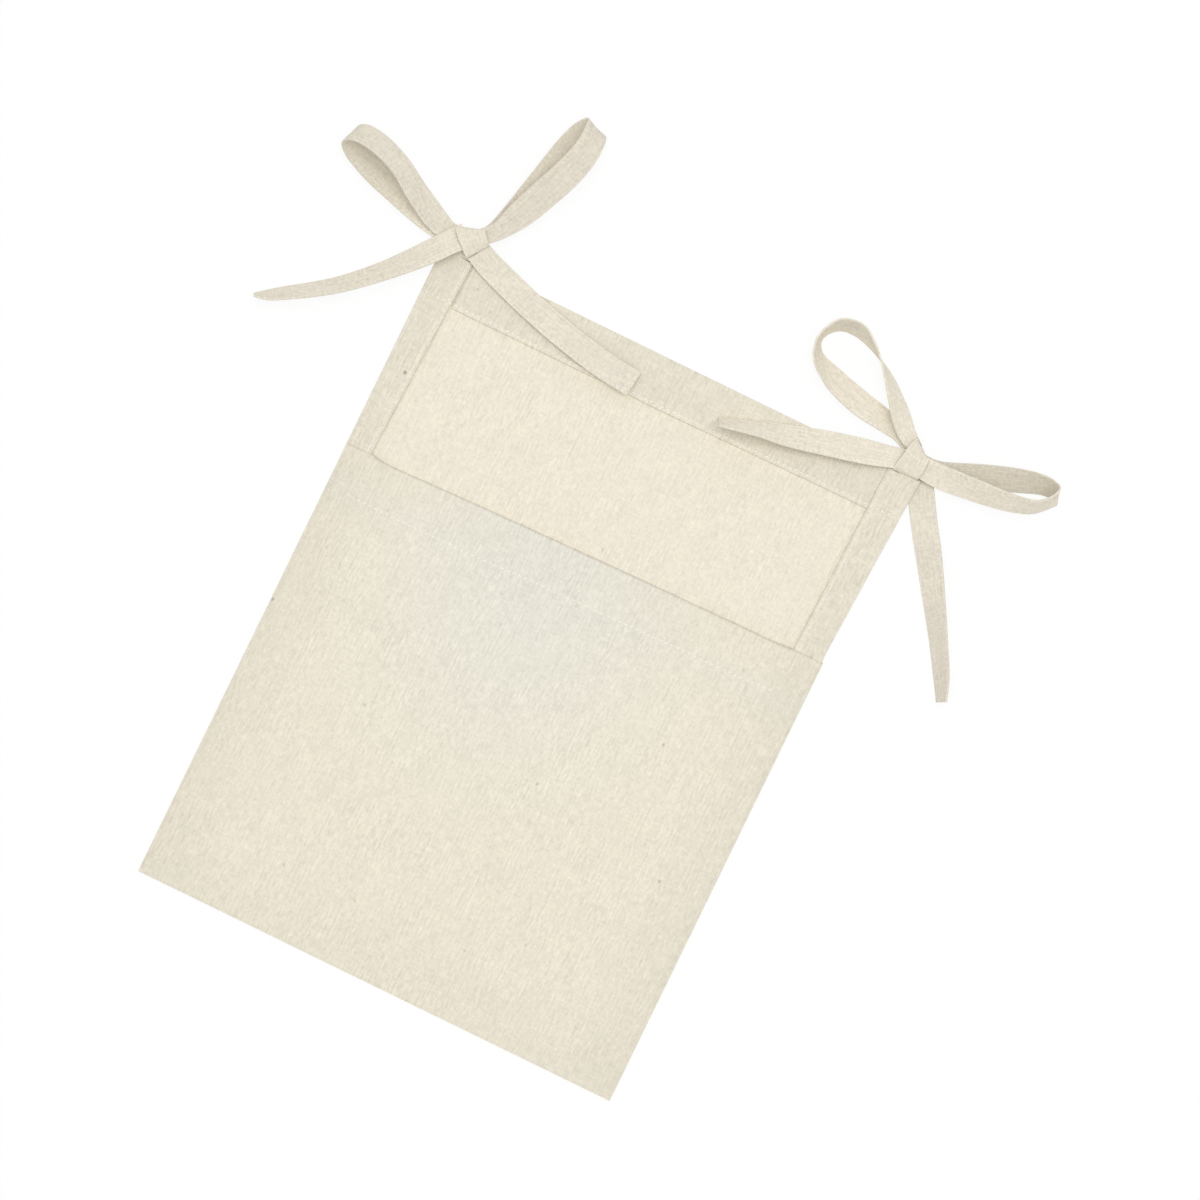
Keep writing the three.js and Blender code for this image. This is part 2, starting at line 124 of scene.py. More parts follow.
# Finish, painted cool light, floor and picture
CLOTH_SHINE = 0.1
CLOTH_ROUGHNESS = 0.95
THREAD_ROUGHNESS = 0.8
WEAVE_PITCH = 0.62
# Where painted cool light tints the pocket: its middle, and half its size each way
COOL_LIGHT_MIDDLE = (-14.0, FOOT + 206.0)
COOL_LIGHT_HALF = (75.0, 90.0)
FLOOR_GLOW = 0.88
FLOOR_DROP = 0.0003
FRAME_WIDTH = 0.5703
PICTURE_TURN = 26.0


def mix(a, b, share):
    return a + (b - a) * share


def ease(share):
    share = min(1.0, max(0.0, share))
    return share * share * (3 - 2 * share)


def left_inner(y):
    """Inner edge of the left hem, which widens above the pocket."""
    return (y - HEM_SLANTS_FROM) * LEFT_HEM_SLANT + LEFT_HEM_INNER


def right_inner(y):
    return (y - HEM_SLANTS_FROM) * RIGHT_HEM_SLANT + RIGHT_HEM_INNER


# Materials


class Flow:
    """A value in a material's nodes: sums and products of values are written as such."""

    def __init__(self, tree, socket=None):
        self.tree = tree
        self.socket = socket

    def feed(self, socket, value):
        if isinstance(value, Flow):
            self.tree.links.new(value.socket, socket)
        else:
            socket.default_value = value

    def node(self, kind, settings, output=0, **inputs):
        """Adds any node: its settings first, then what goes into its sockets, by name."""
        made = self.tree.nodes.new(kind)
        for name, value in settings.items():
            setattr(made, name, value)
        for name, value in inputs.items():
            self.feed(made.inputs[name.replace("_", " ")], value)
        return Flow(self.tree, made.outputs[output])

    def math(self, operation, *others):
        made = self.tree.nodes.new("ShaderNodeMath")
        made.operation = operation
        for socket, value in zip(made.inputs, (self, *others)):
            self.feed(socket, value)
        return Flow(self.tree, made.outputs[0])

    def constant(self, value):
        made = self.tree.nodes.new("ShaderNodeValue")
        made.outputs[0].default_value = value
        return Flow(self.tree, made.outputs[0])

    def __add__(self, other):
        return self.math("ADD", other)

    __radd__ = __add__

    def __sub__(self, other):
        return self.math("SUBTRACT", other)

    def __rsub__(self, other):
        return self.constant(other).math("SUBTRACT", self)

    def __mul__(self, other):
        return self.math("MULTIPLY", other)

    __rmul__ = __mul__

    def __truediv__(self, other):
        return self.math("DIVIDE", other)

    def __rtruediv__(self, other):
        return self.constant(other).math("DIVIDE", self)

    def above(self, level):
        """What is left over a level, or nothing."""
        return (self - level).math("MAXIMUM", 0.0)

    def ramp(self, low, high):
        """From 0 at one value to 1 at another, smoothly."""
        return self.node("ShaderNodeMapRange", {"interpolation_type": "SMOOTHSTEP"},
                         Value=self, From_Min=low, From_Max=high)

    def bell(self, middle, reach):
        """1 at a middle, falling smoothly to 0 over a reach on both sides of it."""
        return (self - middle).math("ABSOLUTE").ramp(reach, 0.0)


def new_material(name):
    material = bpy.data.materials.new(name)
    material.use_nodes = True
    shader = material.node_tree.nodes["Principled BSDF"]
    shader.inputs["Specular IOR Level"].default_value = CLOTH_SHINE
    return material, Flow(material.node_tree), shader


def attribute(start, name):
    return start.node("ShaderNodeAttribute", {"attribute_name": name}, output=2)


def dye(start, shader, colour, tone, strength, depth, height):
    """Colours a shader by a tone, and raises its surface by a height over a depth in metres."""
    red, green, blue = colour
    shade = start.node("ShaderNodeCombineXYZ", {}, X=tone * red, Y=tone * green, Z=tone * blue)
    start.feed(shader.inputs["Base Color"], shade)
    bump = start.node("ShaderNodeBump", {}, Strength=strength, Distance=depth, Height=height)
    start.feed(shader.inputs["Normal"], bump)


def grain(start, x, y, across, along, seed=0.0, detail=1.0):
    """Uneven yarn: noise stretched to so many millimetres across and along the threads, from -1 to 1."""
    place = start.node("ShaderNodeCombineXYZ", {}, X=x / across, Y=y / along, Z=seed)
    made = start.node("ShaderNodeTexNoise", {"noise_dimensions": "3D"},
                      Vector=place, Scale=1.0, Detail=detail)
    return (made - 0.5) * 2.0


def linen(name, colour, weave=1.0, streaks=0.15, shading=None, painted_cool_light=None):
    """Plain-woven linen: a fine weave of streaky yarn with pale slubs and a few dark flecks.
    shading(start, x, y) makes it darker or paler in places, mostly with painted shade and light, and the
    last argument, given x and y, says where a painted cool light tints it."""
    material, start, shader = new_material(name)
    x, y = attribute(start, "across_mm"), attribute(start, "along_mm")
    patchy = grain(start, x, y, 22.0, 30.0, seed=24.0) * 0.8 + 1.0
    yarn = grain(start, x, y, 1.1, 26.0)
    warp = (yarn * 0.55 + grain(start, x, y, 1.15, 4.6, seed=28.0)) * patchy
    ribs = (x * math.pi).math("COSINE") * (grain(start, x, y, 6.0, 15.0, seed=32.0) + 0.3)
    weft = grain(start, y, x, 1.1, 6.0, seed=4.0)
    mottle = grain(start, x, y, 1.5, 1.7, seed=8.0, detail=2.0)
    broad = grain(start, x, y, 9.0, 14.0, seed=12.0, detail=2.0)
    slub = grain(start, x, y, 0.8, 3.0, seed=16.0).above(0.3)
    neps = grain(start, x, y, 1.0, 1.3, seed=20.0).above(0.42)
    spot = start.node("ShaderNodeCombineXYZ", {}, X=x / 46.0, Y=y / 60.0)
    fleck = start.node("ShaderNodeTexVoronoi", {"voronoi_dimensions": "2D"}, Vector=spot, Scale=1.0)
    woven = warp * streaks + ribs * 0.03 + weft * 0.07 + mottle * 0.12 + slub * 0.2 - neps * 0.9
    flecks = fleck.ramp(0.022, 0.007) * (broad + 0.1).math("MAXIMUM", 0.0) * 0.9
    tone = 1.0 + weave * woven + broad * 0.05 - flecks
    if shading:
        tone = tone * shading(start, x, y)
    red, green, blue = colour
    # Painted light: a cooler tint where the painted cool light falls
    if painted_cool_light:
        cool = painted_cool_light(x, y)
        red, green, blue = red - cool * 0.032, green - cool * 0.005, blue + cool * 0.035
    shader.inputs["Roughness"].default_value = CLOTH_ROUGHNESS
    over, under = ((way * (math.pi / WEAVE_PITCH)).math("COSINE") for way in (x, y))
    dye(start, shader, (red, green, blue), tone, 0.25, 0.0002, over * under * 0.5 + warp * 0.5 + weft * 0.4)
    return material


def panel_shading(start, x, y):
    """Painted shade in the creases along the inner edges of the side hems."""
    y = y.math("MAXIMUM", HEM_SLANTS_FROM)
    return 1.0 - 0.07 * ((x - left_inner(y)).bell(0.0, 1.8) + (x - right_inner(y)).bell(0.0, 1.8))


def hem_shading(start, x, y):
    """Painted shade where the fold turns down, a painted highlight along the stitched ridge beside it, and
    one dark fleck.
    """
    from_edge = attribute(start, "from_edge_mm")
    across, up = x - HEM_FLECK[0], y - HEM_FLECK[1]
    fleck = (across * across + up * up).ramp(1.6, 0.1)
    turned, ridge = from_edge.bell(0.0, 1.1), from_edge.bell(STITCH_INSET, 1.3)
    return 1.0 - 0.06 * turned + 0.06 * ridge - 0.4 * fleck


def pocket_shading(start, x, y):
    """Painted shade where the mouth's edge rolls in, near the seams at the sides and foot where the cloth
    slopes down over the layers under it, and along the top over its hem; painted light on the fold at the
    foot."""
    off_middle = x.math("ABSOLUTE")
    # painted shade on the mouth's rolled lip, less over the side hems
    lip_shade_mask = attribute(start, "from_edge_mm").ramp(1.5, 0.3)
    lip_painted_shade = lip_shade_mask * (0.15 - 0.07 * off_middle.ramp(109.0, 113.0))
    # painted shade near the seams, where the pocket slopes down
    seams = 0.045 * off_middle.ramp(86.0, 120.0) + 0.025 * y.ramp(FOOT + 40.0, FOOT + 4.0)
    # painted shade along the top of the pocket, over its hem
    hem_band_painted_shade = 0.018 * y.ramp(FOOT + 188.0, FOOT + 200.0)
    # painted light on the fold at the foot, which slopes away from the light
    fold = 0.085 * y.bell(FOOT + 1.5, 2.4)
    return (1.0 - lip_painted_shade) * (1.0 - seams) * (1.0 - hem_band_painted_shade) * (1.0 + fold)


def pocket_painted_cool_light(x, y):
    """Painted light: a cooler tint below the middle of the mouth, and faintly along the hem's stitches."""
    across, up = ((way - middle) / half for way, middle, half in zip((x, y), COOL_LIGHT_MIDDLE, COOL_LIGHT_HALF))
    cool = (across * across + up * up).math("SQRT").ramp(1.5, 0.0)
    return cool + (1.0 - cool) * y.bell(COOL_LIGHT_MIDDLE[1], 14.0) * 0.35


def tape_shading(start, x, y):
    """Painted shade on the inside of a loop and on some faces, painted light on others, with a row of
    stitches along one edge and across a tail's end: paler thread, with painted shade in the groove between
    stitches.
    """
    row = attribute(start, "from_edge_mm").bell(TAPE_STITCH_INSET, 0.8)
    dash = ((x + y) * (math.tau / TAPE_STITCH)).math("SINE").math("GREATER_THAN", -0.5)
    return (1.0 - attribute(start, "shade")) * (1.0 + row * (dash * 0.13 - 0.06))


def spun_thread(name, colour):
    """Sewing thread: spun cotton, paler and darker where its plies show."""
    material, start, shader = new_material(name)
    place = start.node("ShaderNodeTexCoord", {}, output="Object")
    plies = start.node("ShaderNodeTexNoise", {"noise_dimensions": "3D"},
                       Vector=place, Scale=1800.0, Detail=1.0) - 0.5
    shader.inputs["Roughness"].default_value = THREAD_ROUGHNESS
    dye(start, shader, colour, plies * 0.24 + 1.0, 0.3, 0.0001, plies)
    return material


def white_floor():
    """White to the camera and in reflections, with some of the shadow left, and plain white otherwise."""
    material, start, shader = new_material("white floor")
    shader.inputs["Base Color"].default_value = (1.0, 1.0, 1.0, 1.0)
    shader.inputs["Roughness"].default_value = 1.0
    glow = start.node("ShaderNodeEmission", {}, Color=(1.0, 1.0, 1.0, 1.0), Strength=1.0)
    camera, glossy, through = (start.node("ShaderNodeLightPath", {}, output=word) for word in (
        "Is Camera Ray", "Is Glossy Ray", "Is Transmission Ray"))
    seen = (camera + glossy + through).math("MINIMUM", 1.0)
    both = start.node("ShaderNodeMixShader", {}, Fac=seen * FLOOR_GLOW)
    start.feed(both.socket.node.inputs[1], Flow(start.tree, shader.outputs[0]))
    start.feed(both.socket.node.inputs[2], glow)
    start.feed(material.node_tree.nodes["Material Output"].inputs["Surface"], both)
    return material


PANEL_LINEN = linen("panel linen", (0.86, 0.802, 0.668), 0.85, 0.13, panel_shading)
HEM_LINEN = linen("hem linen", (0.786, 0.734, 0.614), 0.95, 0.14, hem_shading)
POCKET_LINEN = linen("pocket linen", (0.839, 0.784, 0.65), 0.87, 0.15, pocket_shading, pocket_painted_cool_light)
TAPE_LINEN = linen("tape linen", (0.80, 0.745, 0.628), 1.3, 0.08, tape_shading)
THREAD = spun_thread("sewing thread", (0.945, 0.92, 0.845))
HEM_THREAD = spun_thread("hem thread", (0.92, 0.885, 0.785))


# Making cloth


def patch(name, material, columns, rows, place, thickness, rounding=0.0, even=False,
          inside=lambda s: 0.0, face=0.0):
    """A piece of cloth with real thickness. place(s, t) gives its middle, the way out of its face, and how
    far along, across and in from the folded edge of the cloth that is, all in millimetres. face is the
    painted shade on its face, painted light where below zero, and inside(s) the same on its other side."""
    mesh = bmesh.new()
    along, across, from_edge, shade = (
        mesh.verts.layers.float.new(word) for word in ("along_mm", "across_mm", "from_edge_mm", "shade"))
    bmesh.ops.create_grid(mesh, x_segments=columns, y_segments=rows, size=1.0)
    raised = bmesh.ops.extrude_face_region(mesh, geom=mesh.faces[:], use_keep_orig=True)["geom"]
    bmesh.ops.translate(mesh, verts=[v for v in raised if isinstance(v, bmesh.types.BMVert)], vec=UP)
    bmesh.ops.recalc_face_normals(mesh, faces=mesh.faces[:])
    rim = [e for e in mesh.edges if e.calc_face_angle() > 0.9]
    for vert in mesh.verts:
        s, t = (vert.co.x + 1) / 2, (vert.co.y + 1) / 2
        if not even:
            s, t = (0.5 - 0.5 * math.cos(math.pi * share) for share in (s, t))
        middle, up, vert[along], vert[across], vert[from_edge] = place(s, t)
        # painted shade on the back (inside) and the face (face), painted light where below zero
        vert[shade] = mix(inside(s), face, vert.co.z)
        vert.co = (middle + up * (thickness * (vert.co.z - 0.5))) * MM
    if mesh.calc_volume(signed=True) < 0:
        bmesh.ops.reverse_faces(mesh, faces=mesh.faces[:])
    mesh.normal_update()
    if rounding:
        bmesh.ops.bevel(mesh, geom=rim, offset=rounding * MM, segments=3, profile=0.5, affect="EDGES",
                        material=-1)
    else:
        for edge in rim:
            edge.smooth = False
    for each in mesh.faces:
        each.smooth = True
    return piece(name, mesh, material)


def piece(name, mesh, material):
    data = bpy.data.meshes.new(name)
    mesh.to_mesh(data)
    mesh.free()
    data.materials.append(material)
    made = bpy.data.objects.new(name, data)
    bpy.context.scene.collection.objects.link(made)
    return made


def mouth_height(x):
    """How far above the foot the pocket's mouth is."""
    left_step = MOUTH_LEFT_STEP * ease((-x - LEFT_STEP_FROM) / LEFT_STEP_RUN)
    right_step = MOUTH_RIGHT_STEP * ease((x - RIGHT_STEP_FROM) / RIGHT_STEP_RUN)
    return MOUTH + MOUTH_SLOPE * x - MOUTH_BOW * x * x + left_step + right_step


def mouth_y(x):
    return FOOT + mouth_height(x)


def right_edge(y):
    mouth = mouth_y(SIDE)
    waist = mix(SIDE, SIDE - RIGHT_WAIST, ease((y - mouth + RIGHT_WAIST_RUN) / RIGHT_WAIST_RUN))
    return waist + (RIGHT_FLARE + RIGHT_WAIST) * max(0.0, (y - mouth) / (TOP - mouth))


def corner_lift(x, y):
    """How far the right top corner is raised by the tail that it lies over."""
    reach = math.hypot(x - SIDE, y - TOP)
    return CORNER_LIFT * ease(1.0 - reach / CORNER_REACH)


def flat_cloth(name, material, columns, rows, outline, rest, thickness, rounding=0.0, from_edge=None):
    """Cloth lying on the panel: outline(s, t) gives x and y, and from_edge(x, y) how far that is from its
    folded edge."""

    def place(s, t):
        x, y = outline(s, t)
        middle = Vector((x, y, rest + thickness / 2 + corner_lift(x, y)))
        return middle, UP, y, x, from_edge(x, y) if from_edge else FAR_FROM_EDGE

    made = patch(name, material, columns, rows, place, thickness, rounding)
    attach(made, "caddy")
    return made


def pocket_underside(x, y):
    """Height of the pocket's inside: it swells a little, lies low along the mouth, closes at the seams."""
    from_mouth = mouth_y(x) - y
    up = (y - FOOT) / mouth_height(x)
    swell = POCKET_LOFT * (1 - (x / SIDE) ** 4) * (1 - (1 - up) ** 4) * ease(from_mouth / MOUTH_FALL)
    sag = POCKET_SAG * ease((SAG_HALF - abs(x)) / SAG_RUN) * ease(1 - from_mouth / MOUTH_FALL)
    roll = MOUTH_ROLL * (1 - math.sqrt(1 - max(0.0, 1 - from_mouth / MOUTH_ROLL) ** 2))
    below_mouth = ease((from_mouth - SEAM_BELOW_MOUTH) / SEAM_RUN)
    at_side = ease((abs(x) - SIDE + SEAM_ROUND) / SEAM_ROUND) * below_mouth
    at_foot = ease((FOOT + SEAM_ROUND - y) / SEAM_ROUND)
    closed = (POCKET_REST - CLOTH - SEAM_GAP) * max(at_side, at_foot)
    return POCKET_REST + swell - sag - roll - closed


# Body of the caddy


def panel_outline(s, t):
    y = mix(FOOT, TOP, t)
    return mix(-SIDE, right_edge(y), s), y


def hem_foot(x):
    """The top hem's folded edge, which isn't quite straight."""
    rise = TOP_HEM_RISE * ease((x - 8) / 97)
    dip = TOP_HEM_DIP * ease(1 - abs(x) / 22)
    return TOP_HEM_FOOT + rise - dip


def top_hem_outline(s, t):
    y = mix(TOP_HEM_FOOT, TOP, t)
    x = mix(left_inner(y) + 0.9, right_inner(y), s)
    return x, mix(hem_foot(x), TOP, t)


def bottom_seam_outline(s, t):
    x = mix(LEFT_HEM_INNER + 0.4, RIGHT_HEM_INNER - 0.4, s)
    return x, mix(FOOT + SEAM_ROUND, FOOT + BOTTOM_SEAM, t)


def side_hem(name, inner, edge):
    """A side hem: it reaches the panel's edge above the pocket, and is inside the seam below the mouth."""
    side = 1 if edge(0.0) > 0 else -1

    def outline(s, t):
        y = mix(FOOT + SEAM_ROUND, TOP, t)
        inside_seam = ease((mouth_y(side * SIDE) - SEAM_BELOW_MOUTH - y) / SEAM_RUN)
        outer = edge(y) - side * SEAM_ROUND * inside_seam
        return mix(inner(max(y, HEM_SLANTS_FROM)), outer, s), y

    return flat_cloth(name, HEM_LINEN, 8, 60, outline, CLOTH, FOLD, rounding=HEM_ROUNDING,
                      from_edge=lambda x, y: side * (x - inner(max(y, HEM_SLANTS_FROM))))


panel = flat_cloth("back_panel_cloth", PANEL_LINEN, 40, 50, panel_outline, 0.0, CLOTH)
# The top hem's fold counts as 0.7 mm from its edge, so that it gets less of the painted shade
top_hem = flat_cloth("top_hem_cloth", HEM_LINEN, 40, 8, top_hem_outline, CLOTH, FOLD, rounding=HEM_ROUNDING,
                     from_edge=lambda x, y: y - hem_foot(x) + 0.7)
bottom_seam = flat_cloth("bottom_seam_cloth", HEM_LINEN, 30, 4, bottom_seam_outline, CLOTH, FOLD)
left_hem = side_hem("left_side_hem_cloth", left_inner, lambda y: -SIDE)
right_hem = side_hem("right_side_hem_cloth", right_inner, right_edge)

for cloth, node in ((panel, "back_panel"), (top_hem, "top_hem"), (bottom_seam, "bottom_seam"),
                    (left_hem, "left_side_hem"), (right_hem, "right_side_hem")):
    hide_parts(node)


# The pocket: a front and a hem, each in two halves that meet in the middle

pocket_pieces = []


def hem_y(x):
    return mouth_y(x) - POCKET_HEM


def pocket_half(name, side, low, high, lower, thickness, rows, half=SIDE):
    """Half of a layer of the pocket, between two heights that vary across it, and so far below the front's
    underside."""

    def place(s, t):
        x = side * half * s
        y = mix(low(x), high(x), t)
        middle = Vector((x, y, pocket_underside(x, y) - lower + thickness / 2))
        return middle, UP, y, x, mouth_y(x) - y

    made = patch(name, POCKET_LINEN, 24, rows, place, thickness)
    pocket_pieces.append((made, side))
    return made


for side, word in SIDES:
    front = pocket_half("pocket_front_" + word, side, lambda x: FOOT, mouth_y, 0.0, CLOTH, 64)
    hem = pocket_half("pocket_hem_" + word, side, hem_y, lambda x: mouth_y(x) - POCKET_HEM_TURN,
                      POCKET_HEM_DROP, POCKET_HEM_CLOTH, 12, half=POCKET_HEM_HALF)
    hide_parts("pocket_front")
    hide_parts("pocket_hem")


# Stitching


def stitches(name, node, route, count, material=HEM_THREAD, width=0.7, height=0.45):
    """A row of stitches: route(share) gives a point of the cloth's surface, in millimetres."""
    mesh = bmesh.new()
    for k in range(count):
        jitter = noise.noise(Vector((k * 1.7, count * 0.31, 0.5)))
        sunk = max(0.0, noise.noise(Vector((k * 0.23, count * 0.17, 2.5))))
        a = route((k + STITCH_FROM - 0.1 * jitter) / count)
        b = route((k + STITCH_TO + 0.12 * jitter) / count)
        way = (b - a).normalized()
        side = UP.cross(way).normalized()
        up = way.cross(side)
        turn = Matrix((way, side, up)).transposed().to_4x4()
        size = Matrix.Diagonal(((b - a).length / 2 * MM, width / 2 * MM, height / 2 * MM, 1))
        middle = (a + b) / 2 + up * height * (0.2 - sunk) - side * 0.15 * jitter
        bmesh.ops.create_uvsphere(mesh, u_segments=8, v_segments=6, radius=1.0,
                                  matrix=Matrix.Translation(middle * MM) @ turn @ size)
    for face in mesh.faces:
        face.smooth = True
    made = piece(name, mesh, material)
    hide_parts(node)
    return made


def hem_point(x, y):
    return Vector((x, y, HEM_TOP + corner_lift(x, y)))


def top_row_point(share):
    x = mix(-SIDE + 1, right_edge(TOP_HEM_FOOT) - 1, share)
    return hem_point(x, hem_foot(x) + STITCH_INSET)


def left_row_point(share):
    y = mix(mouth_y(-SIDE) - 1, TOP - 1, share)
    return hem_point(left_inner(y) - STITCH_INSET, y)


def right_row_point(share):
    y = mix(mouth_y(SIDE) - 1, TOP - 1, share)
    return hem_point(right_inner(y) + STITCH_INSET, y)


top_row = stitches("top_hem_stitching_thread", "top_hem_stitching", top_row_point, 82, width=0.9)
left_row = stitches("left_hem_stitching_thread", "left_hem_stitching", left_row_point, 34)
right_row = stitches("right_hem_stitching_thread", "right_hem_stitching", right_row_point, 33)
tack_row = stitches("left_hem_stitching_tack", "left_hem_stitching",
                    lambda share: hem_point(mix(-115.2, -109.6, share), TOP - 0.9), 3, THREAD, width=0.9)
for row in (top_row, left_row, right_row, tack_row):
    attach(row, "caddy")


def pocket_row_y(x):
    """The pocket hem's row of stitches, which wavers a little."""
    straight = FOOT + MOUTH - POCKET_HEM + MOUTH_SLOPE * x - MOUTH_BOW * x * x
    left_rise = 1.8 * ease((-x - 66) / 64)
    dip = 0.45 * ease(1 - abs(x + 46) / 26)
    right_rise = ease((x - 84) / 30)
    return straight + 1.0 + left_rise - dip + right_rise


for side, word in SIDES:
    def pocket_row_point(share):
        x = side * mix(0.4, SIDE - 0.6, share)
        y = pocket_row_y(x)
        return Vector((x, y, pocket_underside(x, y) + CLOTH))

    row = stitches("pocket_hem_stitching_" + word, "pocket_hem_stitching", pocket_row_point, 41,
                   THREAD, width=0.68)
    pocket_pieces.append((row, side))

for made, side in pocket_pieces:
    side * SIDE * MM
    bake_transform(made)

for side in (-1, 1):
    front, *on_it = [made for made, made_side in pocket_pieces if made_side == side]


# Ties of folded tape


def curve(points, place):
    """A smooth line through points, at a place counted in points."""
    before = min(int(place), len(points) - 2)
    share = place - before
    a = points[max(0, before - 1)]
    b, c = points[before], points[before + 1]
    d = points[min(len(points) - 1, before + 2)]
    return 0.5 * (2 * b + (c - a) * share + (2 * a - 5 * b + 4 * c - d) * share ** 2
                  + (3 * b - a - 3 * c + d) * share ** 3)


def direction(across, lean):
    """The way a tape's width points: an angle across the floor, and how far it is tipped up, in degrees."""
    across, lean = math.radians(across), math.radians(lean)
    return Vector((math.cos(lean) * math.cos(across), math.cos(lean) * math.sin(across), math.sin(lean)))


# Unless told otherwise, a tape's back gets a little painted shade
def tape(name, node, stations, knot, sewn=1, inside=lambda s: 0.08, face=0.0, hemmed=False):
    """Tape through stations (x, y, rest, across, lean, gather): the middle of the tape from its knot, the
    height its lower edge rests at, the way its width points, how far that is tipped up, and the share of
    its width left. sewn is the side of it that is stitched, 1 where its width points and -1 opposite, and
    hemmed says that the stitches also cross its end."""
    middles, widths, gathers = [], [], []
    for x, y, rest, across, lean, gather in stations:
        tall = (TAPE_WIDTH * gather * abs(math.sin(math.radians(lean)))
                + TAPE_THICKNESS * math.cos(math.radians(lean)))
        middles.append(knot + Vector((x, y, rest + tall / 2)))
        widths.append(direction(across, lean))
        gathers.append(gather)
    last = len(stations) - 1
    lengths = [0.0]
    for k in range(1, CURVE_PARTS * last + 1):
        part = curve(middles, k / CURVE_PARTS) - curve(middles, (k - 1) / CURVE_PARTS)
        lengths.append(lengths[-1] + part.length)

    def place(s, t):
        where = s * last
        middle = curve(middles, where)
        ahead, behind = min(last, where + 0.02), max(0.0, where - 0.02)
        way = (curve(middles, ahead) - curve(middles, behind)).normalized()
        wide = curve(widths, where)
        wide = (wide - way * wide.dot(way)).normalized()
        up = way.cross(wide)
        t = 0.5 - 0.5 * math.cos(math.pi * t)
        off = (2 * t - 1) * TAPE_WIDTH / 2
        length = lengths[min(CURVE_PARTS * last, round(where * CURVE_PARTS))]
        sway = TAPE_SWAY * noise.noise(Vector((length * 0.08, t * 1.5, last + knot.x)))
        point = middle + wide * off * curve(gathers, where) + up * sway
        from_edge = TAPE_WIDTH / 2 - sewn * off
        if hemmed:
            from_edge = min(from_edge, lengths[-1] - length)
        return point, up, length + TAPES_APART * last, off, from_edge

    made = patch(name, TAPE_LINEN, TAPE_STEPS * last, 8, place, TAPE_THICKNESS, rounding=TAPE_ROUNDING,
                 even=True, inside=inside, face=face)
    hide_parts(node)
    return made


def strand(node, stations, knot, body, hinge, heading, bend=-4, **looks):
    """A loop or tail of tape from its knot. hinge, bend (so many millimetres past it) and body (what lifts)
    are not used."""
    made = tape(node + "_tape", node, stations, knot, **looks)
    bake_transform(made)


# face and inside give each strand painted shade on its face and back, painted light where below zero
strand("left_outer_loop", [
    (-2, 0, 3.4, 244, 0, 0.72),
    (-10.4, -0.3, 2.8, 245, 4, 0.69),
    (-18, 1.4, 2.6, 245, 12, 0.88),
    (-31.5, 8.4, 5.5, 249, 32, 1),
    (-45, 16.8, 10, 251, 39, 1),
    (-57.5, 21.4, 12.5, 252, 38, 1),
    (-67.8, 22.6, 11, 253, 36, 1),
    (-72.9, 20.1, 6.8, 254, 33, 1),
    (-69, 15.8, 2.6, 253, 26, 1),
    (-57, 10.4, 0.6, 252, 20, 1),
    (-40, 5.2, 0.4, 250, 20, 1),
    (-19, -0.2, 0.6, 245, 10, 0.9),
    (-2, -1, 1.8, 244, 0, 0.68),
], LEFT_KNOT, "left_bow", (-18, 1.6), 155, face=0.04,
       inside=lambda s: mix(0.09, -0.04, ease((s - 0.76) / 0.15)))

strand("left_upper_loop", [
    (3, 3, 4.8, 150, 0, 0.6),
    (9.8, 10, 4.2, 150, 4, 0.68),
    (15.9, 21.5, 6.5, 155, 8, 1),
    (21.7, 34.4, 9.5, 156, 8, 1.08),
    (27.5, 48.1, 12, 157, 10, 1.08),
    (31.2, 62, 12.2, 159, 18, 1.03),
    (30.3, 73.3, 7, 160, 22, 1),
    (25.2, 68.4, 2, 160, 26, 1),
    (21.1, 56, 0.4, 159, 26, 1),
    (16.9, 36, 0.4, 158, 18, 1),
    (8.7, 11.1, 1.6, 150, 4, 0.65),
    (3, 3, 2.8, 150, 0, 0.6),
], LEFT_KNOT, "left_bow", (9.6, 10.6), 60, face=0.06)

strand("left_outer_tail", [
    (-3, 1.2, 4.6, 319, 0, 0.95),
    (-8.5, -4.9, 5.2, 321, 10, 0.92),
    (-14.3, -12.3, 3.4, 323, 24, 0.97),
    (-21.8, -21, 1.2, 321, 34, 1),
    (-32.6, -32.7, 0.4, 316, 45, 1),
    (-50, -48.5, 0.4, 309, 52, 1),
    (-71.8, -63.2, 0.4, 302, 62, 1),
    (-81.2, -68.3, 0.4, 298, 82, 1),
], LEFT_KNOT, "left_bow", (-14.3, -12.3), 233, face=-0.02, hemmed=True)

strand("left_inner_tail", [
    (1, -1, 3, 66, 0, 0.9),
    (12, -6.1, 2.7, 70, -2, 0.97),
    (25, -10.7, 2.4, 71, -3, 1),
    (39.9, -15.5, 2.5, 72, -3, 1),
    (60, -20.9, 2.7, 75, -3, 1.01),
    (80.9, -25.1, 3, 79, -3, 1.01),
    (99.3, -27.2, 3.3, 83, -2, 1),
], LEFT_KNOT, "left_bow", (12, -5.8), -20, sewn=-1, hemmed=True)

